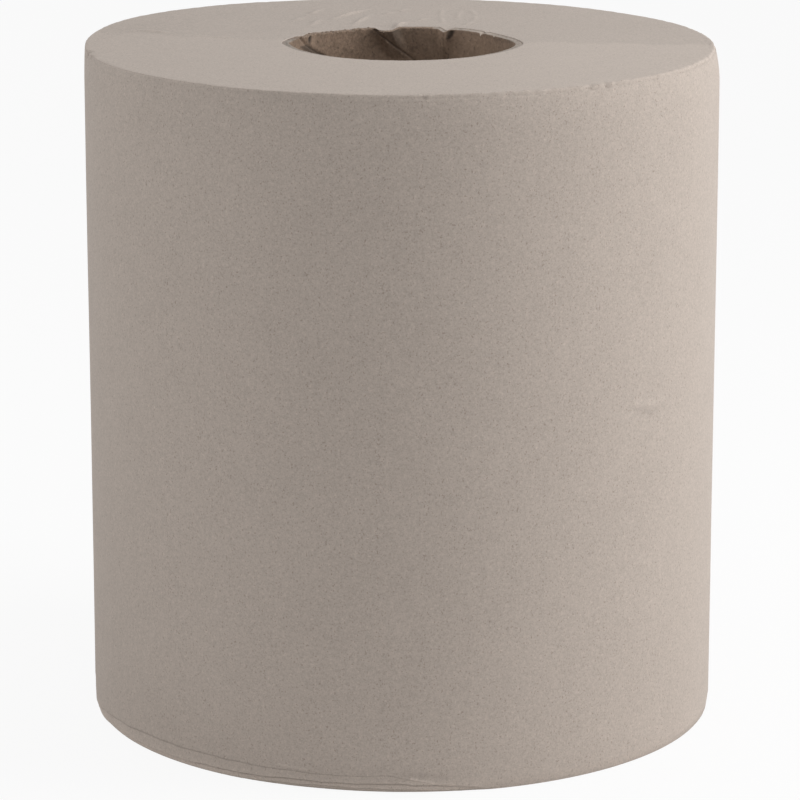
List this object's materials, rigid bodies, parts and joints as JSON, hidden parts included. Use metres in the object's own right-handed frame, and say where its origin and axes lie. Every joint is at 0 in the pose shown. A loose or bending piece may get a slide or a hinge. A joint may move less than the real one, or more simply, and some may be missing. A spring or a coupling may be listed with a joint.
{
  "type": "paper towel roll",
  "caption": "Large centre-feed paper towel roll: creped recycled paper wound on a board tube, standing on its end, with a dented tube mouth and a worn rim.",
  "frame": {"origin": "centre of the lower end face, on the roll's axis", "axes": "+Z along the roll's axis, towards the dented mouth of the tube; -Y is the side that the picture shows"},
  "size_m": [0.1867, 0.1865, 0.2],
  "materials": {
    "towel_paper": "matt creped recycled paper, grey-beige with fine dark fibres",
    "core_board": "matt grey-brown wound board"
  },
  "bodies": {
    "root": {"paper_roll": "towel_paper", "core_tube": "core_board"}
  },
  "joints": []
}
